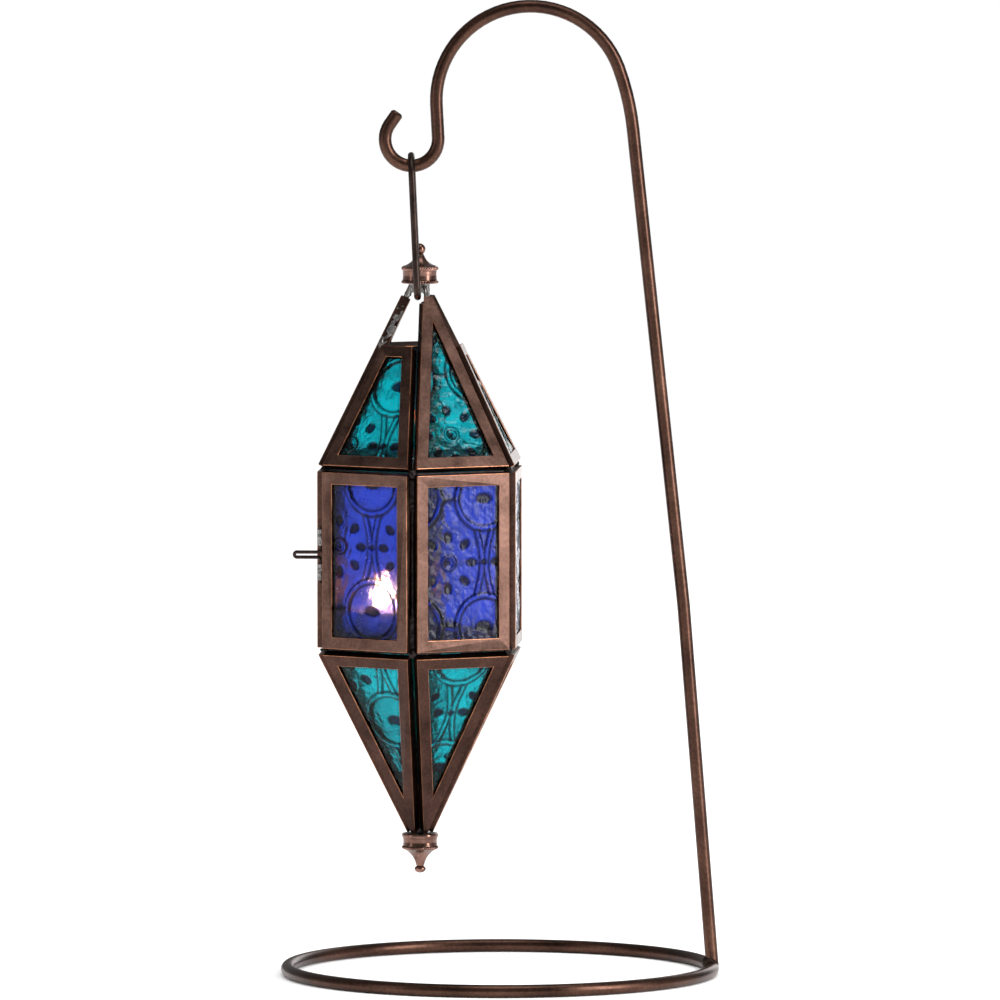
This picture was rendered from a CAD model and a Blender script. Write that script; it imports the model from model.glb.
"""Looks of a six-sided candle lantern that hangs on a bent-bar stand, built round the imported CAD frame.

Lengths in metres unless a name ends in _mm. Every CAD part keeps its place and mesh.
"""
import math

import bpy
import numpy as np
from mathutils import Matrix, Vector, noise


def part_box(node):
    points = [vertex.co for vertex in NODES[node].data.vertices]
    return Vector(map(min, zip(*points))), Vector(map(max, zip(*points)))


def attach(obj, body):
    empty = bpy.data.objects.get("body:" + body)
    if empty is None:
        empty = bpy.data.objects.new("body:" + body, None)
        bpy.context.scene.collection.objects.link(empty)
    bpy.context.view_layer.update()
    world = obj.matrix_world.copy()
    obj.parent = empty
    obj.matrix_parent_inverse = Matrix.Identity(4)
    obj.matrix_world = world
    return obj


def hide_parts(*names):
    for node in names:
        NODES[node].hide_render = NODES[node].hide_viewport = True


MM = 0.001
SEED = 7
SIDES = ["right", "back_right", "back_left", "left", "front_left", "front_right"]
SIDE_TURN = math.radians(-3.75)

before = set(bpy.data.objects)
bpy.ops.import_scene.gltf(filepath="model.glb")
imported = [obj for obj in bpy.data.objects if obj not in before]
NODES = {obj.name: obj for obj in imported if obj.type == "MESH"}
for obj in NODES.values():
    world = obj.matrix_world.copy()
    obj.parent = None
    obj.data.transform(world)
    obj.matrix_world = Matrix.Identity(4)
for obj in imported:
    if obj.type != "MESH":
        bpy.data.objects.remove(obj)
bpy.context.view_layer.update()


def middle(node):
    """The middle of a CAD node's box."""
    low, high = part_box(node)
    return (low + high) / 2


AXIS = middle("floor_plate")


# Materials


class Look:
    """A material with one Principled shader, and short names for the nodes that feed it."""

    def __init__(self, name, **values):
        self.material = bpy.data.materials.new(name)
        self.material.use_nodes = True
        self.nodes = self.material.node_tree.nodes
        self.links = self.material.node_tree.links
        self.shader = self.nodes["Principled BSDF"]
        self.place = self.nodes.new("ShaderNodeTexCoord").outputs["Object"]
        for socket, value in values.items():
            self.feed(self.shader, socket.replace("_", " "), value)

    def feed(self, node, socket, value):
        """Sets a socket to a value, or links it to another node's output."""
        if isinstance(value, bpy.types.NodeSocket):
            self.links.new(value, node.inputs[socket])
        else:
            node.inputs[socket].default_value = value

    def noise(self, scale, detail=3.0, stretch=(1, 1, 1)):
        """Noise with about scale features in a metre, drawn out along an axis by a small stretch."""
        mapping = self.nodes.new("ShaderNodeMapping")
        self.feed(mapping, "Vector", self.place)
        self.feed(mapping, "Scale", stretch)
        texture = self.nodes.new("ShaderNodeTexNoise")
        self.feed(texture, "Vector", mapping.outputs[0])
        self.feed(texture, "Scale", scale)
        self.feed(texture, "Detail", detail)
        return texture.outputs["Fac"]

    def ramp(self, value, *stops):
        """Colours or grey levels along a value: each stop is (place, colour or level)."""
        ramp = self.nodes.new("ShaderNodeValToRGB")
        for extra in stops[2:]:
            ramp.color_ramp.elements.new(extra[0])
        for element, (place, colour) in zip(ramp.color_ramp.elements, sorted(stops)):
            element.position = place
            level = colour if isinstance(colour, tuple) else (colour, colour, colour)
            element.color = (*level, 1)
        self.feed(ramp, "Fac", value)
        return ramp.outputs["Color"]

    def mix(self, factor, a, b, kind="MIX"):
        """Colour a turned towards b by a factor."""
        mix = self.nodes.new("ShaderNodeMix")
        mix.data_type = "RGBA"
        mix.blend_type = kind
        for index, value in ((0, factor), (6, a), (7, b)):
            if isinstance(value, tuple):
                value = (*value, 1)
            if isinstance(value, bpy.types.NodeSocket):
                self.links.new(value, mix.inputs[index])
            else:
                mix.inputs[index].default_value = value
        return mix.outputs[2]

    def math(self, operation, a, b=0.5):
        """One arithmetic step."""
        node = self.nodes.new("ShaderNodeMath")
        node.operation = operation
        self.feed(node, 0, a)
        self.feed(node, 1, b)
        return node.outputs[0]

    def attribute(self, name):
        """A number stored on the mesh's points."""
        node = self.nodes.new("ShaderNodeAttribute")
        node.attribute_name = name
        return node.outputs["Fac"]

    def hollows(self):
        """How hollow or sharp the mesh is at a point."""
        return self.nodes.new("ShaderNodeNewGeometry").outputs["Pointiness"]

    def bump(self, height, depth_mm, strength=1.0):
        """Fine relief too small to model."""
        bump = self.nodes.new("ShaderNodeBump")
        self.feed(bump, "Height", height)
        self.feed(bump, "Distance", depth_mm * MM)
        self.feed(bump, "Strength", strength)
        self.feed(self.shader, "Normal", bump.outputs[0])


def aged_metal(name, dark, light, rough, grain, patch, depth_mm=0.05):
    """Metal whose colour drifts in soft patches, with fine grain and uneven gloss."""
    look = Look(name, Metallic=1.0)
    patches = look.noise(patch, 4.0)
    fine = look.noise(grain, 5.0)
    tone = look.ramp(patches, (0.3, dark), (0.72, light))
    speckle = look.ramp(fine, (0.35, 0.78), (0.65, 1.12))
    look.feed(look.shader, "Base Color", look.mix(1.0, tone, speckle, "MULTIPLY"))
    gloss = look.math("ADD", look.math("MULTIPLY", patches, 0.22), rough - 0.11)
    look.feed(look.shader, "Roughness", gloss)
    look.bump(fine, depth_mm, 0.5)
    return look


BAR_BRONZE = aged_metal("bar_bronze", (0.04, 0.021, 0.016), (0.12, 0.06, 0.042), 0.34, 600, 30)
WIRE_BRONZE = aged_metal("wire_black_bronze", (0.018, 0.013, 0.012), (0.055, 0.036, 0.03), 0.38, 900, 120)
WELD = aged_metal("weld_dark", (0.012, 0.009, 0.008), (0.06, 0.04, 0.032), 0.55, 1500, 400, depth_mm=0.3)
FRAME_RED = aged_metal("frame_bronze", (0.055, 0.03, 0.023), (0.13, 0.072, 0.056), 0.3, 700, 70)
FRAME_DARK = aged_metal("frame_bronze_dark", (0.035, 0.018, 0.014), (0.08, 0.04, 0.03), 0.34, 700, 70)
WORN_EDGE = aged_metal("worn_copper_edge", (0.16, 0.06, 0.03), (0.5, 0.22, 0.12), 0.3, 900, 160)
STEEL_WIRE = aged_metal("wire_steel", (0.016, 0.011, 0.01), (0.06, 0.042, 0.038), 0.35, 1200, 260)
SOLDER = aged_metal("solder", (0.06, 0.055, 0.052), (0.42, 0.4, 0.38), 0.36, 1400, 420, depth_mm=0.25)
SOLDER_DARK = aged_metal(
    "solder_oxidised", (0.008, 0.006, 0.006), (0.045, 0.036, 0.034), 0.4, 1400, 500, depth_mm=0.25
)
PLATE_TIN = aged_metal("plate_tin", (0.12, 0.11, 0.1), (0.3, 0.28, 0.26), 0.42, 500, 60)
CUP_TIN = aged_metal("cup_tin", (0.55, 0.55, 0.57), (0.85, 0.85, 0.87), 0.28, 900, 90)


def cap_copper():
    """Bright turned copper, darker in its hollows."""
    look = Look("cap_copper", Metallic=1.0)
    patches = look.noise(160.0, 4.0)
    rings = look.noise(2600.0, 2.0, (0.06, 0.06, 1))
    tone = look.ramp(patches, (0.3, (0.1, 0.052, 0.04)), (0.7, (0.3, 0.165, 0.13)))
    dirt = look.ramp(look.hollows(), (0.44, 0.1), (0.5, 0.8), (0.56, 1.6))
    look.feed(look.shader, "Base Color", look.mix(1.0, tone, dirt, "MULTIPLY"))
    look.feed(look.shader, "Roughness", look.math("ADD", look.math("MULTIPLY", rings, 0.18), 0.14))
    look.bump(rings, 0.03, 0.4)
    return look


def pressed_glass(name, tint, line_tint):
    """Coloured glass whose pressed lines read darker, with a soft ripple and small seeds."""
    look = Look(name, Transmission_Weight=1.0, IOR=1.24, Specular_IOR_Level=0.2)
    lines = look.attribute("relief")
    cloud = look.noise(60.0, 3.0)
    ripple = look.noise(330.0, 2.0)
    seeds = look.ramp(look.noise(900.0, 2.0), (0.66, 1.0), (0.74, 0.25))
    body = look.mix(cloud, tint, tuple(0.82 * c for c in tint))
    marked = look.mix(lines, body, line_tint)
    look.feed(look.shader, "Base Color", look.mix(0.6, marked, look.mix(1.0, marked, seeds, "MULTIPLY")))
    look.feed(look.shader, "Roughness", look.math("ADD", look.math("MULTIPLY", ripple, 0.16), 0.16))
    look.bump(ripple, 0.5, 0.5)
    return look


COPPER = cap_copper()
TEAL = pressed_glass("glass_teal", (0.0, 0.7, 0.76), (0.0, 0.001, 0.006))
BLUE = pressed_glass("glass_blue", (0.15, 0.24, 0.8), (0.001, 0.001, 0.005))
WAX_GLOW = 30.0
FLAME_GLOW = 160.0


def wax():
    """Pale wax that glows warm round the wick."""
    look = Look("wax", Roughness=0.45, Subsurface_Weight=0.6, Subsurface_Scale=0.006)
    look.feed(look.shader, "Subsurface Radius", (1.0, 0.5, 0.3))
    tone = look.ramp(look.noise(140.0), (0.3, (0.86, 0.78, 0.66)), (0.7, (0.95, 0.9, 0.8)))
    look.feed(look.shader, "Base Color", tone)
    near = look.attribute("near")
    look.feed(look.shader, "Emission Color", look.mix(near, (1.0, 0.16, 0.03), (1.0, 0.3, 0.07)))
    look.feed(look.shader, "Emission Strength", look.math("MULTIPLY", near, WAX_GLOW))
    look.bump(look.noise(500.0), 0.1, 0.4)
    return look


def wick():
    """Charred cotton."""
    look = Look("wick", Roughness=0.9)
    fine = look.noise(3000.0, 3.0)
    tone = look.ramp(fine, (0.3, (0.01, 0.008, 0.007)), (0.7, (0.06, 0.045, 0.035)))
    look.feed(look.shader, "Base Color", tone)
    look.bump(fine, 0.15)
    return look


def flame():
    """A candle flame: dim and bluish at its foot, bright orange above, redder at its tip."""
    look = Look("flame", Base_Color=(0, 0, 0, 1), Roughness=1.0)
    height = look.attribute("rise")
    colour = look.ramp(
        height,
        (0.0, (0.25, 0.2, 0.9)),
        (0.18, (1.0, 0.3, 0.05)),
        (0.5, (1.0, 0.4, 0.09)),
        (1.0, (1.0, 0.2, 0.03)),
    )
    look.feed(look.shader, "Emission Color", colour)
    power = look.ramp(height, (0.0, 0.1), (0.3, 1.0))
    look.feed(look.shader, "Emission Strength", look.math("MULTIPLY", power, FLAME_GLOW))
    return look


# Meshes


def new_piece(name, vertices, faces, look, smooth=True, numbers=None):
    """A mesh object, with numbers stored on its points under a name."""
    mesh = bpy.data.meshes.new(name)
    mesh.from_pydata(vertices, [], faces)
    mesh.polygons.foreach_set("use_smooth", [smooth] * len(mesh.polygons))
    for label, values in (numbers or {}).items():
        attribute = mesh.attributes.new(label, "FLOAT", "POINT")
        attribute.data.foreach_set("value", np.asarray(values, np.float32))
    mesh.materials.append(look.material)
    mesh.update()
    piece = bpy.data.objects.new(name, mesh)
    bpy.context.scene.collection.objects.link(piece)
    return piece


def belongs(piece, body, slot, *replaced):
    """The piece rides on a body, takes its finish from a slot, and stands for CAD nodes."""
    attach(piece, body)
    if replaced:
        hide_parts(*replaced)
    return piece


def smoothstep(value, low, high):
    """A smooth rise from 0 at low to 1 at high."""
    t = np.clip((value - low) / (high - low), 0, 1)
    return t * t * (3 - 2 * t)


def tidy_profile(corners, spacing_mm):
    """Points along a profile, no further apart than a spacing."""
    points = [corners[0]]
    for a, b in zip(corners, corners[1:]):
        count = max(1, math.ceil(math.dist(a, b) / spacing_mm))
        for k in range(1, count + 1):
            points.append((a[0] + (b[0] - a[0]) * k / count, a[1] + (b[1] - a[1]) * k / count))
    return points


def sagging(a, b, sag, count=10):
    """A hollow stretch of a profile from a to b, as deep as sag at its middle."""
    length = math.dist(a, b)
    across = ((a[1] - b[1]) / length, (b[0] - a[0]) / length)
    steps = [k / count for k in range(count + 1)]
    return [
        (
            a[0] + t * (b[0] - a[0]) + 4 * sag * t * (1 - t) * across[0],
            a[1] + t * (b[1] - a[1]) + 4 * sag * t * (1 - t) * across[1],
        )
        for t in steps
    ]


def tube_faces(rows, sides):
    """The faces of a closed tube whose points come ring by ring, from one end cap to the other."""
    faces = [tuple(range(sides))[::-1], tuple(range((rows - 1) * sides, rows * sides))]
    for row in range(rows - 1):
        for k in range(sides):
            a = row * sides + k
            b = row * sides + (k + 1) % sides
            faces.append((a, b, b + sides, a + sides))
    return faces


def grid_cells(rows, columns):
    """The numbering of a grid of points, and the four corners of each of its cells."""
    grid = np.arange(rows * columns).reshape(rows, columns)
    cells = np.stack([grid[:-1, :-1], grid[:-1, 1:], grid[1:, 1:], grid[1:, :-1]], -1)
    return grid, cells.reshape(-1, 4)


def grid_edge(grid):
    """The numbers round the edge of a grid of points."""
    return [int(i) for i in (*grid[0], *grid[1:, -1], *grid[-1, -2::-1], *grid[-2:0:-1, 0])]


def lathe(name, profile_mm, base, look, segments, swell=None, flip=1, numbers=None):
    """A turned piece: (radius, height) pairs round an upright axis through base, closed at both ends.

    swell(angle, radius, height) is added to the radius, and flip -1 turns the piece upside down.
    """
    vertices = []
    for radius, height in profile_mm:
        for k in range(segments):
            angle = 2 * math.pi * k / segments
            reach = radius + (swell(angle, radius, height) if swell else 0)
            vertices.append(
                (
                    base.x + reach * math.cos(angle) * MM,
                    base.y + reach * math.sin(angle) * MM,
                    base.z + flip * height * MM,
                )
            )
    faces = tube_faces(len(profile_mm), segments)
    if flip < 0:
        faces = [face[::-1] for face in faces]
    stored = {label: np.repeat(values, segments) for label, values in (numbers or {}).items()}
    return new_piece(name, vertices, faces, look, numbers=stored)


# Pressed glass

PATTERN_HIGH_MM = 62.2
PATTERN_WIDE_MM = 38.2
CIRCLE_R_MM = 14.6
BAND_MM = 1.25
GLASS_CELL_MM = 0.5
LIP_MM = 5.0
RELIEF_MM = 0.5
# Where the middle of one of the pattern's circles falls, from the pane's middle: across and up, in mm.
CIRCLE_PLACES = {
    "middle_glass_front_right": (11.5, -31.0),
    "middle_glass_front_left": (4.1, -23.8),
    "upper_glass_front_right": (12.0, 10.0),
    "upper_glass_front_left": (10.0, 14.0),
}


def ridge(distance, width):
    """1 on a line, falling away smoothly on both sides."""
    return np.exp(-((distance / width) ** 2))


def blob(distance, size):
    """1 inside a spot, and 0 outside its size."""
    return 1 - smoothstep(distance, 0.62 * size, size)


def pressed_pattern(u, v):
    """Height of the pattern, from -1 to 1, and its darkness, from 0 to 1, at u across and v up in mm.

    Rows of circles stand side by side, joined by short bars. Between four of them lies a pointed
    quatrefoil, drawn by one broad raised band, round a small ring with eight sunk petals.
    """
    across = u - PATTERN_WIDE_MM * np.round(u / PATTERN_WIDE_MM)
    along = v - PATTERN_HIGH_MM * np.round(v / PATTERN_HIGH_MM)
    du = np.abs(PATTERN_WIDE_MM / 2 - np.abs(across))
    dv = PATTERN_HIGH_MM / 2 - np.abs(along)
    circle = np.hypot(across, along) - CIRCLE_R_MM
    lobe_h = PATTERN_HIGH_MM / 2 - CIRCLE_R_MM
    lobe = du - PATTERN_WIDE_MM / 2 + 1.0 + 3.4 * (np.minimum(dv, lobe_h) / lobe_h) ** 1.6
    notch = np.hypot(across, PATTERN_HIGH_MM / 2 - np.abs(along))
    band = ridge(circle, BAND_MM) + ridge(lobe, BAND_MM) * (1 - smoothstep(dv, lobe_h - 1, lobe_h + 2))
    bar = (1 - smoothstep(du, 3.4, 4.4)) * ridge(along, 1.3)

    reach = np.hypot(du, dv)
    angle = np.arctan2(dv, du)
    step = math.pi / 4
    off = angle - step * np.round(angle / step)
    petal = np.hypot((reach * np.cos(off) - 12.6) / 1.35, reach * np.sin(off))
    ring = ridge(reach - 3.2, 0.7)
    dimple = np.hypot(across * 0.62, along)
    dots = blob(petal, 2.7) + blob(dimple, 3.4) + blob(reach, 1.5) + blob(notch, 2.0)
    height = np.clip(band + 0.9 * bar + 0.7 * ring - 0.8 * dots, -1, 1)
    slopes = ridge(np.abs(circle) - 1.4, 0.7) + ridge(np.abs(lobe) - 1.4, 0.7) * (dv < lobe_h)
    slopes += ridge(np.abs(reach - 3.2) - 0.8, 0.45) + bar
    dark = np.clip(0.9 * np.clip(slopes, 0, 1) + dots, 0, 0.97)
    return height, 1 - (1 - dark) ** 2


def cell_noise(u, v, size_mm, seed):
    """Soft random bumps of a size, mostly between -1 and 1."""
    rng = np.random.default_rng(seed)
    value = np.zeros_like(u)
    for _ in range(7):
        angle, phase = rng.uniform(0, 2 * math.pi, 2)
        wave = 2 * math.pi / (size_mm * rng.uniform(0.8, 1.5))
        value += np.sin(wave * (u * math.cos(angle) + v * math.sin(angle)) + phase)
    return value / 4


class Pane:
    """The axes and outline of a CAD pane: outward, across and up, with sizes in millimetres."""

    def __init__(self, node):
        points = np.array([v.co for v in NODES[node].data.vertices], float)
        self.centre = (points.min(0) + points.max(0)) / 2
        spread = points - points.mean(0)
        self.outward = np.linalg.svd(spread, full_matrices=False)[2][2]
        if self.outward @ (self.centre - np.array([AXIS.x, AXIS.y, self.centre[2]])) < 0:
            self.outward = -self.outward
        up = np.array([0, 0, 1.0]) - self.outward[2] * self.outward
        self.up = up / np.linalg.norm(up)
        self.across = np.cross(self.up, self.outward)
        away = (points - self.centre) / MM
        height, width, depth = away @ self.up, away @ self.across, away @ self.outward
        self.low, self.high = height.min(), height.max()
        self.inner, self.outer = depth.min(), depth.max()
        ends = [width[np.abs(height - end) < 0.01] for end in (self.low, self.high)]
        self.left = [end.min() for end in ends]
        self.right = [end.max() for end in ends]

    def edges(self, v):
        """Left and right edge at a height."""
        t = (v - self.low) / (self.high - self.low)
        left = self.left[0] + t * (self.left[1] - self.left[0])
        right = self.right[0] + t * (self.right[1] - self.right[0])
        return left, right

    def at(self, u, v, n):
        """World places of points across, up and outward."""
        flat = [np.ravel(x)[:, None] for x in (u, v, n)]
        return self.centre + MM * (flat[0] * self.across + flat[1] * self.up + flat[2] * self.outward)


def glass_pane(node, body, slot, look, seed):
    """A pane of pressed glass in the place of a CAD pane, with its pattern in relief on the outside."""
    pane = Pane(node)
    rows = int((pane.high - pane.low) / GLASS_CELL_MM) + 1
    widest = max(right - left for left, right in zip(pane.left, pane.right))
    columns = int(widest / GLASS_CELL_MM) + 1
    v = np.repeat(np.linspace(pane.low, pane.high, rows)[:, None], columns, 1)
    left, right = pane.edges(v)
    u = left + (right - left) * np.linspace(0, 1, columns)[None, :]
    rng = np.random.default_rng(seed)
    place = CIRCLE_PLACES.get(node, (rng.uniform(-20, 20), rng.uniform(-32, 32)))
    height, dark = pressed_pattern(u - place[0], v - place[1])
    slant = math.hypot(1, (pane.left[1] - pane.left[0]) / (pane.high - pane.low))
    from_edge = np.minimum.reduce([(u - left) / slant, (right - u) / slant, v - pane.low, pane.high - v])
    open_area = smoothstep(from_edge, LIP_MM, LIP_MM + 1.2)
    hammered = 0.1 * cell_noise(u, v, 5.0, seed) + 0.06 * cell_noise(u, v, 2.4, seed + 50)
    n = pane.outer - 0.1 + open_area * (RELIEF_MM * height + hammered)
    shade = np.clip(dark + 0.5 * (1 - smoothstep(from_edge, LIP_MM + 0.4, LIP_MM + 2.4)), 0, 1)

    grid, cells = grid_cells(rows, columns)
    front = grid_edge(grid)
    back = list(range(grid.size, grid.size + len(front)))
    inside = pane.at(u.flat[front], v.flat[front], np.full(len(front), pane.inner))
    points = np.vstack([pane.at(u, v, n), inside])
    faces = cells.tolist()
    for k in range(len(front)):
        m = (k + 1) % len(front)
        faces.append([front[k], back[k], back[m], front[m]])
    faces.append(back[::-1])
    relief = np.concatenate([shade.ravel(), np.zeros(len(front))])
    piece = new_piece(node.replace("glass", "pane"), points.tolist(), faces, look, numbers={"relief": relief})
    smooth = np.zeros(len(faces), bool)
    smooth[: len(cells)] = True
    piece.data.polygons.foreach_set("use_smooth", smooth)
    return belongs(piece, body, slot, node)


for index, side in enumerate(SIDES):
    glass_pane(f"upper_glass_{side}", "lantern", "glass_teal", TEAL, SEED + index)
    glass_pane(f"lower_glass_{side}", "lantern", "glass_teal", TEAL, SEED + 10 + index)
    if side != "left":
        glass_pane(f"middle_glass_{side}", "lantern", "glass_blue", BLUE, SEED + 20 + index)
glass_pane("door_glass", "door", "glass_blue", BLUE, SEED + 23)


# Metal parts that keep their CAD shape


SHARP_DEG = 35


def dress(node, look, bevel_mm=0.0, edge=None):
    """A CAD node's material, with its sharp edges rounded by a bevel and rubbed bright by an edge look."""
    part = NODES[node]
    part.data.materials.clear()
    part.data.materials.append(look.material)
    if bevel_mm:
        weld = part.modifiers.new("join_faces", "WELD")
        weld.merge_threshold = 0.002 * MM
        bevel = part.modifiers.new("soft_edges", "BEVEL")
        bevel.width = bevel_mm * MM
        bevel.segments = 2
        bevel.limit_method = "ANGLE"
        bevel.angle_limit = math.radians(SHARP_DEG)
        if edge:
            part.data.materials.append(edge.material)
            bevel.material = 1


for side in SIDES:
    dress(f"upper_frame_{side}", FRAME_RED, 0.3, WORN_EDGE)
    dress(f"lower_frame_{side}", FRAME_DARK, 0.26, WORN_EDGE)
    if side != "left":
        dress(f"middle_frame_{side}", FRAME_RED, 0.3, WORN_EDGE)
dress("door_frame", FRAME_RED, 0.3, WORN_EDGE)
dress("door_barrels", FRAME_RED, 0.15, WORN_EDGE)
dress("fixed_barrels", FRAME_RED, 0.15, WORN_EDGE)
dress("hinge_pins", STEEL_WIRE)
dress("door_pull", STEEL_WIRE)
dress("floor_plate", PLATE_TIN, 0.2)
dress("base_ring", BAR_BRONZE)
dress("hook_rod", BAR_BRONZE)
dress("hanging_ring", WIRE_BRONZE)


# Solder and weld


def lumpy(name, node, body, slot, look, cell_mm, lump_mm, height_mm, level=0.5):
    """A run of solder or weld: the CAD solid, rounded off and drawn up into lumps."""
    mesh = NODES[node].data.copy()
    mesh.materials.clear()
    mesh.materials.append(look.material)
    piece = bpy.data.objects.new(name, mesh)
    bpy.context.scene.collection.objects.link(piece)
    remesh = piece.modifiers.new("even_cells", "REMESH")
    remesh.mode = "VOXEL"
    remesh.voxel_size = cell_mm * MM
    remesh.use_smooth_shade = True
    rounding = piece.modifiers.new("rounding", "SMOOTH")
    rounding.factor = 0.6
    rounding.iterations = 4
    clouds = bpy.data.textures.new(name, "CLOUDS")
    clouds.noise_scale = lump_mm * MM
    lumps = piece.modifiers.new("lumps", "DISPLACE")
    lumps.texture = clouds
    lumps.strength = height_mm * MM
    lumps.mid_level = level
    return belongs(piece, body, slot, node)


lumpy("crown_solder_lumps", "crown_solder", "lantern", "solder", SOLDER, 0.3, 1.6, 0.3, 0.8)
lumpy("foot_solder_lumps", "foot_solder", "lantern", "solder", SOLDER, 0.3, 1.6, 0.4, 0.6)
lumpy("corner_seams", "corner_solder", "lantern", "solder", SOLDER_DARK, 0.3, 1.8, 0.8, 0.45)
lumpy("upper_tier_blobs", "upper_tier_solder", "lantern", "solder", SOLDER_DARK, 0.25, 1.5, 0.7, 0.5)
lumpy("lower_tier_blobs", "lower_tier_solder", "lantern", "solder", SOLDER_DARK, 0.25, 1.5, 0.7, 0.5)
lumpy("pull_solder_beads", "pull_solder", "door", "solder", SOLDER, 0.2, 1.2, 0.4, 0.6)
lumpy("foot_weld", "weld_bead", "stand", "weld_dark", WELD, 0.25, 1.4, 0.5, 0.6)

CHANNEL_WALL_MM = 0.9


def solder_smear(name, node, body, v_from, v_to, wide_mm, seed):
    """Solder wiped up the side wall of the slanting stile beside a pane, in a thin lumpy strip."""
    pane = Pane(node)
    rows, columns = 100, 14
    v = np.repeat(np.linspace(v_from, v_to, rows)[:, None], columns, 1)
    t = np.linspace(-1, 1, columns)[None, :]
    slope = (pane.right[1] - pane.right[0]) / (pane.high - pane.low)
    slant = math.hypot(1, slope)
    n = np.repeat((pane.inner + pane.outer) / 2 + t * wide_mm / 2, rows, 0)
    patch = 0.35 + 0.7 * cell_noise(n, v, 5.5, seed) + 0.4 * cell_noise(n, v, 2.2, seed + 1)
    fade = (1 - t**2) ** 0.5 * smoothstep(v, v_from, v_from + 5) * (1 - smoothstep(v, v_to - 3, v_to))
    layers = []
    for lift in (0.5 * np.clip(patch, 0, 1) * fade - 0.15, np.full_like(v, -0.4)):
        u = pane.edges(v)[1] + CHANNEL_WALL_MM * slant + lift / slant
        layers.append(pane.at(u, v - lift * slope / slant, n))
    grid, cells = grid_cells(rows, columns)
    edge = grid_edge(grid)
    faces = cells[:, ::-1].tolist() + (cells + grid.size).tolist()
    for a, b in zip(edge, edge[1:] + edge[:1]):
        faces.append([a, b, b + grid.size, a + grid.size])
    piece = new_piece(name, np.vstack(layers).tolist(), faces, SOLDER)
    return belongs(piece, body, "solder")


solder_smear("stile_solder", "upper_glass_left", "lantern", 19.0, 46.0, 4.6, 31)


# Seals: dark soft metal in the gaps between tiers and at the bottom of the grooves


SEAL_WANDER_MM = 0.12
BEAD_R_MM = 0.85
BEAD_LUMP_MM = 0.25


def beside_axis(out_mm, aside_mm, turn, z):
    """A place beside the lantern's axis: out along a direction, and aside from it."""
    return (
        AXIS.x + MM * (out_mm * math.cos(turn) - aside_mm * math.sin(turn)),
        AXIS.y + MM * (out_mm * math.sin(turn) + aside_mm * math.cos(turn)),
        z,
    )


def gap_seal(name, low_mm, high_mm, inner_mm, outer_mm, around):
    """A six-sided dark strip inside the gap between two tiers, with a slightly wavering face."""
    levels = np.linspace(low_mm, high_mm, 4)
    loops = [(outer_mm, z) for z in levels] + [(inner_mm, z) for z in levels[::-1]]
    vertices, steps = [], 36
    for apothem, z in loops:
        for side in range(6):
            normal = SIDE_TURN + math.radians(60 * side)
            for k in range(steps):
                t = 2 * k / steps - 1
                wander = SEAL_WANDER_MM * noise.noise(Vector((side * 7 + 6 * t, z * 2, SEED)))
                reach = apothem + wander
                slide = t * reach * math.tan(math.radians(30))
                vertices.append(beside_axis(reach, slide, normal, around + MM * z))
    count, rows = 6 * steps, len(loops)
    faces = []
    for row in range(rows):
        above = (row + 1) % rows
        for k in range(count):
            after = (k + 1) % count
            faces.append((row * count + k, row * count + after, above * count + after, above * count + k))
    return belongs(new_piece(name, vertices, faces, SOLDER_DARK), "lantern", "solder")


def groove_bead(name, corner, low, high):
    """A wavering bead of dark solder up the bottom of the groove after a side."""
    turn = SIDE_TURN + math.radians(60 * corner + 30)
    rows, sides = 120, 12
    vertices = []
    for row in range(rows):
        z = low + (high - low) * row / (rows - 1)
        for k in range(sides):
            angle = 2 * math.pi * k / sides
            lump = BEAD_LUMP_MM * noise.noise(Vector((corner * 9.0, z / MM * 0.35, math.cos(angle) + SEED)))
            radius = BEAD_R_MM + lump
            out = GROOVE_MM + radius * math.cos(angle)
            vertices.append(beside_axis(out, radius * math.sin(angle), turn, z))
    return belongs(new_piece(name, vertices, tube_faces(rows, sides), SOLDER_DARK), "lantern", "solder")


plate_low, plate_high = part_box("floor_plate")
GROOVE_MM = (plate_high.y - plate_low.y) / 2 / MM / math.cos(SIDE_TURN) + 1.1
BEAD_END = 1.5 * MM
door_low, door_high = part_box("door_frame")
gap_seal("upper_gap_seal", 0.15, 1.05, 42.6, 45.4, door_high.z)
gap_seal("lower_gap_seal", -1.05, -0.15, 41.5, 45.4, door_low.z)
for corner in (4, 5, 0, 1):
    groove_bead(f"groove_bead_{SIDES[corner]}", corner, door_low.z + BEAD_END, door_high.z - BEAD_END)


# Caps


def beaded(count, depth_mm, low, high):
    """A swell that cuts a band between two heights into small beads or nicks."""

    def swell(angle, radius, height):
        if not low <= height <= high:
            return 0
        return -depth_mm * (0.5 - 0.5 * math.cos(count * angle)) ** 2

    return swell


def cap_swell(bands):
    """The swells of several bands together."""
    parts = [beaded(*band) for band in bands]
    return lambda angle, radius, height: sum(part(angle, radius, height) for part in parts)


CAP_MM = 8.5
top_base = Vector((middle("top_cap").x, middle("top_cap").y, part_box("top_cap")[0].z))
top_profile = tidy_profile(
    [(7.7, 3.0), (7.7, 0.1), (CAP_MM + 0.4, 0.15), (CAP_MM + 0.7, 0.6), (CAP_MM + 0.4, 1.2), (CAP_MM, 1.7)]
    + [(CAP_MM - 0.15, 4.0), (CAP_MM, 6.4), (CAP_MM + 0.45, 6.8), (CAP_MM + 0.6, 7.3), (CAP_MM + 0.45, 8.0)]
    + sagging((CAP_MM - 0.2, 8.5), (1.9, 14.3), 1.1)
    + [(0.3, 14.4)],
    0.3,
)
top_cap = lathe(
    "top_cap_turned", top_profile, top_base, COPPER, 240,
    cap_swell([(40, 0.35, 0.2, 1.3), (60, 0.4, 6.7, 8.1)]),
)
belongs(top_cap, "lantern", "cap_copper", "top_cap")


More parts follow.
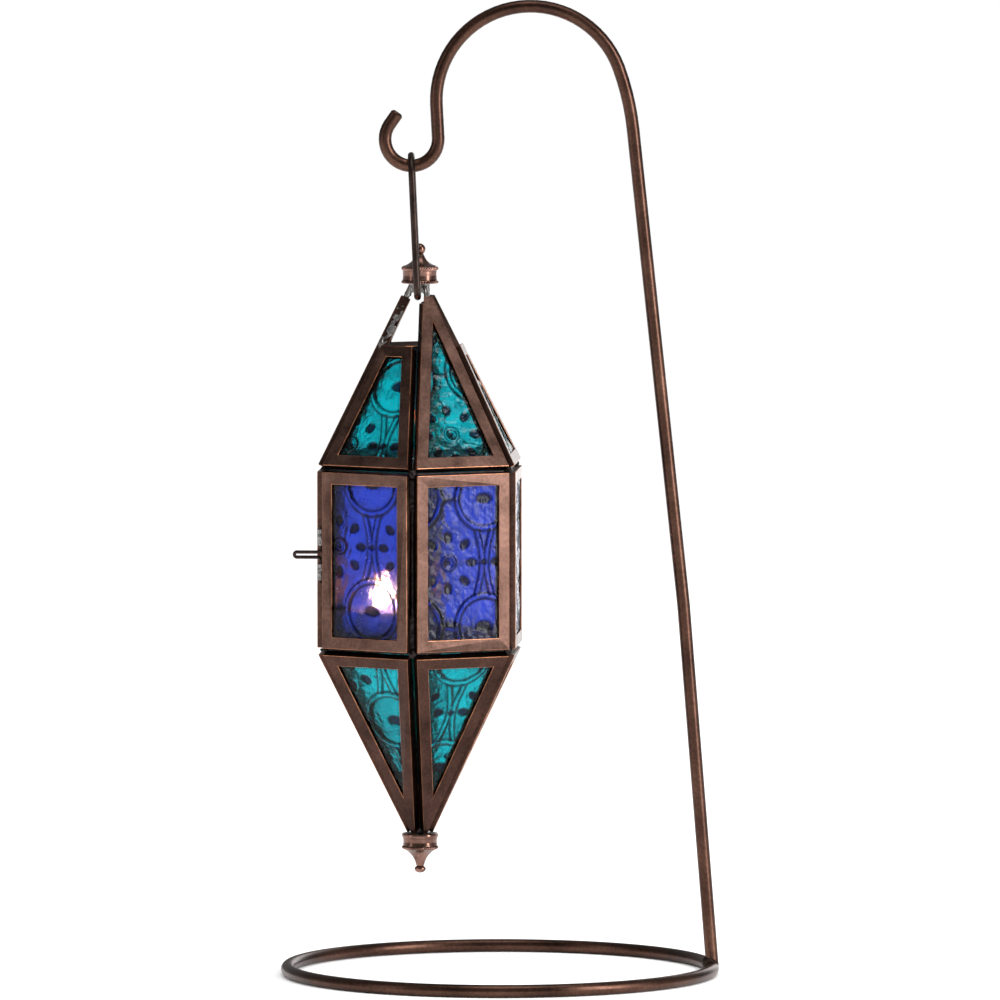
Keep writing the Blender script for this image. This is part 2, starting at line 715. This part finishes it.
def ball_profile(radius_mm, half_high_mm, neck_mm, drop_mm):
    """A ball on a short waisted neck, from the neck up."""
    ball = [
        (max(0.05, radius_mm * math.cos(a)), half_high_mm + half_high_mm * math.sin(a))
        for a in np.linspace(-1.1, math.pi / 2, 26)
    ]
    return [(neck_mm + 0.5, -drop_mm), (neck_mm, -drop_mm / 3)] + ball


BALL_R_MM = 2.8
finial_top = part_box("top_finial")[1].z
finial_base = Vector((top_base.x, top_base.y, finial_top - 2 * BALL_R_MM * MM))
finial = lathe("top_finial_ball", ball_profile(BALL_R_MM, BALL_R_MM, 1.5, 1.0), finial_base, COPPER, 64)
belongs(finial, "lantern", "cap_copper", "top_finial")

bottom_base = Vector((top_base.x, top_base.y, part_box("bottom_cap")[1].z))
bottom_profile = tidy_profile(
    [(7.7, 2.6), (7.7, 0.2), (CAP_MM - 0.1, 0.05), (CAP_MM + 0.45, 0.5), (CAP_MM + 0.5, 1.4), (CAP_MM, 2.6)]
    + [(CAP_MM - 0.2, 4.4), (CAP_MM, 6.2), (CAP_MM + 0.55, 6.9), (CAP_MM + 0.45, 7.5)]
    + sagging((CAP_MM - 0.4, 8.0), (1.95, 16.1), 1.3)
    + [(0.3, 16.2)],
    0.3,
)
bottom_cap = lathe(
    "bottom_cap_turned", bottom_profile, bottom_base, COPPER, 240,
    cap_swell([(72, 0.3, 6.4, 7.7), (16, 0.12, 8.2, 15.0)]), flip=-1,
)
belongs(bottom_cap, "lantern", "cap_copper", "bottom_cap")

DROP_HALF_MM = 1.9
drop_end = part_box("bottom_finial")[0].z
drop_base = Vector((top_base.x, top_base.y, drop_end + 2 * DROP_HALF_MM * MM))
drop_profile = ball_profile(BALL_R_MM, DROP_HALF_MM, 1.5, 0.6)
drop = lathe("bottom_finial_bead", drop_profile, drop_base, COPPER, 64, flip=-1)
belongs(drop, "lantern", "cap_copper", "bottom_finial")


# Tea light

cup_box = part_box("candle_cup")
wax_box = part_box("candle_wax")
wick_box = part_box("candle_wick")
CANDLE = Vector((middle("candle_cup").x, middle("candle_cup").y, cup_box[0].z))
CUP_R = (cup_box[1].x - cup_box[0].x) / 2 / MM
CUP_H = (cup_box[1].z - cup_box[0].z) / MM
WAX_H = (wax_box[1].z - cup_box[0].z) / MM


def cup_flutes(angle, radius, height):
    """Shallow upright flutes that fade out towards the rolled rim."""
    inside = radius < CUP_R - 0.3 or not 1.0 < height < CUP_H - 1.5
    return 0 if inside else -0.22 * (0.5 + 0.5 * math.cos(56 * angle))


cup_wall = tidy_profile(
    [(0.3, 0.6), (CUP_R - 1.4, 0.6), (CUP_R - 0.7, 1.2), (CUP_R - 0.5, CUP_H - 0.7)]
    + [(CUP_R - 0.3, CUP_H - 0.15), (CUP_R - 0.1, CUP_H), (CUP_R, CUP_H - 0.3), (CUP_R - 0.05, CUP_H - 0.8)]
    + [(CUP_R - 0.15, CUP_H - 1.2), (CUP_R - 0.2, 1.4), (CUP_R - 0.9, 0.1), (CUP_R - 2.2, 0.0), (0.3, 0.15)],
    0.8,
)
tea_cup = lathe("tea_cup_fluted", cup_wall, CANDLE, CUP_TIN, 336, cup_flutes)
belongs(tea_cup, "tea_light", "cup_tin", "candle_cup")

wax_corners = [(0.3, 0.8), (CUP_R - 1.6, 0.8), (CUP_R - 0.8, 1.4), (CUP_R - 0.75, WAX_H - 0.2)]
wax_corners += sagging((CUP_R - 1.2, WAX_H), (0.5, WAX_H - 0.6), 0.9, 16)
wax_profile = tidy_profile(wax_corners, 1.0)
wax_near = [math.exp(-((r / 9.0) ** 2) - ((h - WAX_H) / 6.0) ** 2) for r, h in wax_profile]
wax_piece = lathe("wax_pool", wax_profile, CANDLE, wax(), 96, numbers={"near": wax_near})
belongs(wax_piece, "tea_light", "wax", "candle_wax")


def bent_wick():
    """A short wick that curls over at its charred tip."""
    low, high = wick_box
    centre = middle("candle_wick")
    tall = high.z - low.z
    rings, sides = 18, 10
    vertices = []
    for k in range(rings):
        t = k / (rings - 1)
        curl = max(0.0, t - 0.6) ** 2 * 0.006
        radius = (0.9 - 0.35 * t) * MM * (1 + 0.12 * math.sin(9 * t))
        for s in range(sides):
            angle = 2 * math.pi * s / sides + 1.5 * t
            vertices.append(
                (
                    centre.x - curl + radius * math.cos(angle),
                    centre.y + radius * math.sin(angle),
                    low.z + tall * t * (1 - 0.1 * t),
                )
            )
    return new_piece("wick_curled", vertices, tube_faces(rings, sides), wick())


belongs(bent_wick(), "tea_light", "wick", "candle_wick")

FLAME_HIGH_MM = 16.0
FLAME_R_MM = 4.2
FLAME_DROP = 4.5 * MM
steps = np.linspace(0, 1, 30)
flame_profile = [
    (max(0.05, FLAME_R_MM * math.sin(math.pi * t**0.72) ** 0.9), FLAME_HIGH_MM * t) for t in steps
]
flame_base = Vector((CANDLE.x, CANDLE.y, wick_box[1].z - FLAME_DROP))
fire = lathe("flame", flame_profile, flame_base, flame(), 48, numbers={"rise": steps})
belongs(fire, "tea_light", "wick")


# Studio: floor, light and camera


def studio_floor():
    """A wide pale floor with the faintest unevenness."""
    look = Look("studio_floor", Roughness=0.75)
    look.feed(look.shader, "Base Color", look.ramp(look.noise(3.0), (0.3, 0.93), (0.7, 0.95)))
    reach, count = 30.0, 48
    angles = [2 * math.pi * k / count for k in range(count)]
    vertices = [(reach * math.cos(angle), reach * math.sin(angle), 0) for angle in angles]
    floor = new_piece("studio_floor", vertices, [tuple(range(count))], look, smooth=False)


def softbox(name, place, size, power):
    """A rectangular light aimed at the lantern."""
    lamp = bpy.data.lights.new(name, "AREA")
    lamp.shape = "RECTANGLE"
    lamp.size, lamp.size_y = size
    lamp.energy = power
    light = bpy.data.objects.new(name, lamp)
    light.location = place
    aim = Vector((0, 0, 0.25)) - Vector(place)
    light.rotation_euler = aim.to_track_quat("-Z", "Y").to_euler()
    light.visible_camera = False
    light.visible_transmission = False
    bpy.context.scene.collection.objects.link(light)


WORLD_STRENGTH = 1.2
REFLECTION_LOSS = 0.97


def pale_world():
    """White all round, and dimmer in mirror reflections so that metal keeps its shape."""
    world = bpy.data.worlds.new("pale_studio")
    world.use_nodes = True
    nodes, links = world.node_tree.nodes, world.node_tree.links
    background = nodes["Background"]
    background.inputs["Color"].default_value = (1, 1, 1, 1)
    path = nodes.new("ShaderNodeLightPath")
    reflected = nodes.new("ShaderNodeMath")
    reflected.operation = "SUBTRACT"
    reflected.use_clamp = True
    links.new(path.outputs["Is Glossy Ray"], reflected.inputs[0])
    links.new(path.outputs["Is Transmission Ray"], reflected.inputs[1])
    dim = nodes.new("ShaderNodeMath")
    dim.operation = "MULTIPLY_ADD"
    links.new(reflected.outputs[0], dim.inputs[0])
    dim.inputs[1].default_value = -REFLECTION_LOSS
    dim.inputs[2].default_value = WORLD_STRENGTH
    links.new(dim.outputs[0], background.inputs["Strength"])
    bpy.context.scene.world = world


def camera():
    """Straight on, from a little above, with a long lens."""
    distance, elevation = 6.5, math.radians(4.2)
    view_wide = 0.49
    target = Vector((0, 0, 0.2337))
    lens = bpy.data.cameras.new("camera")
    lens.sensor_width = 36
    lens.lens = lens.sensor_width * distance / view_wide
    lens.clip_end = 100
    eye = bpy.data.objects.new("camera", lens)
    eye.location = target + distance * Vector((0, -math.cos(elevation), math.sin(elevation)))
    eye.rotation_euler = (target - eye.location).to_track_quat("-Z", "Y").to_euler()
    bpy.context.scene.collection.objects.link(eye)
    bpy.context.scene.camera = eye


studio_floor()
pale_world()
softbox("right_strip", (2.0, -1.3, 0.9), (0.4, 1.8), 55)
softbox("left_strip", (-1.9, -0.9, 0.8), (0.25, 1.6), 5)
softbox("top_box", (0.2, -0.4, 2.4), (1.4, 1.4), 18)
softbox("back_right_box", (0.75, 2.3, 0.5), (0.7, 1.6), 8)
camera()
bpy.context.scene.view_settings.view_transform = "Standard"
